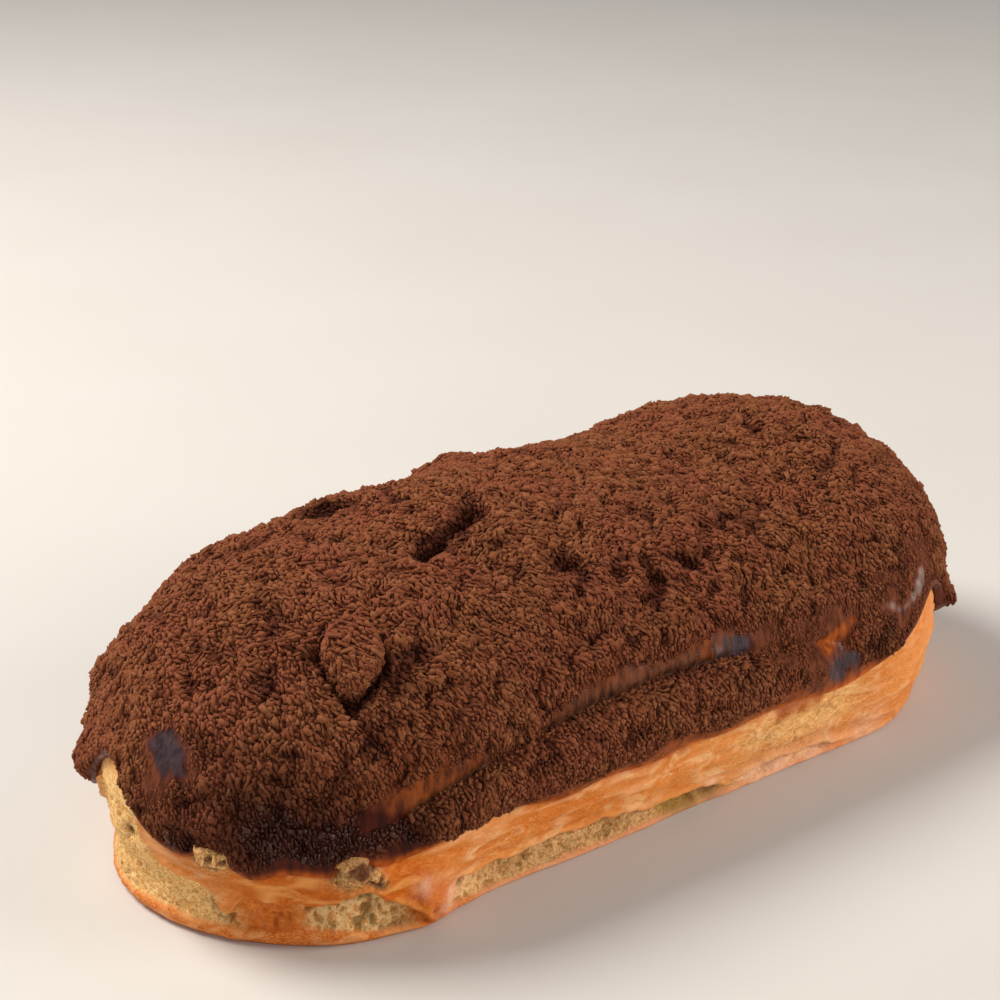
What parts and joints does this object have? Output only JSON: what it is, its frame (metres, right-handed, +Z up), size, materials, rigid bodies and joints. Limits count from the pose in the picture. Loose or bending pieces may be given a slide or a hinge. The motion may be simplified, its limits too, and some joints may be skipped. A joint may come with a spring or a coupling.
{
  "type": "eclair",
  "caption": "Large filled eclair: baked choux shell under a cap of chocolate icing thickly coated with cocoa crumbs.",
  "frame": {"origin": "on the table, under the middle of the eclair's bounding box", "axes": "+X along the eclair towards its wider end, +Z up, -Y towards the side with the rolls of icing"},
  "size_m": [0.1406, 0.0702, 0.0425],
  "materials": {
    "choux": "baked choux pastry, golden skin with paler porous bands",
    "icing": "cocoa crumbs over chocolate icing, matt, with a few bare glossy places"
  },
  "bodies": {
    "root": {"choux_shell": "choux", "chocolate_icing": "icing"}
  },
  "joints": []
}
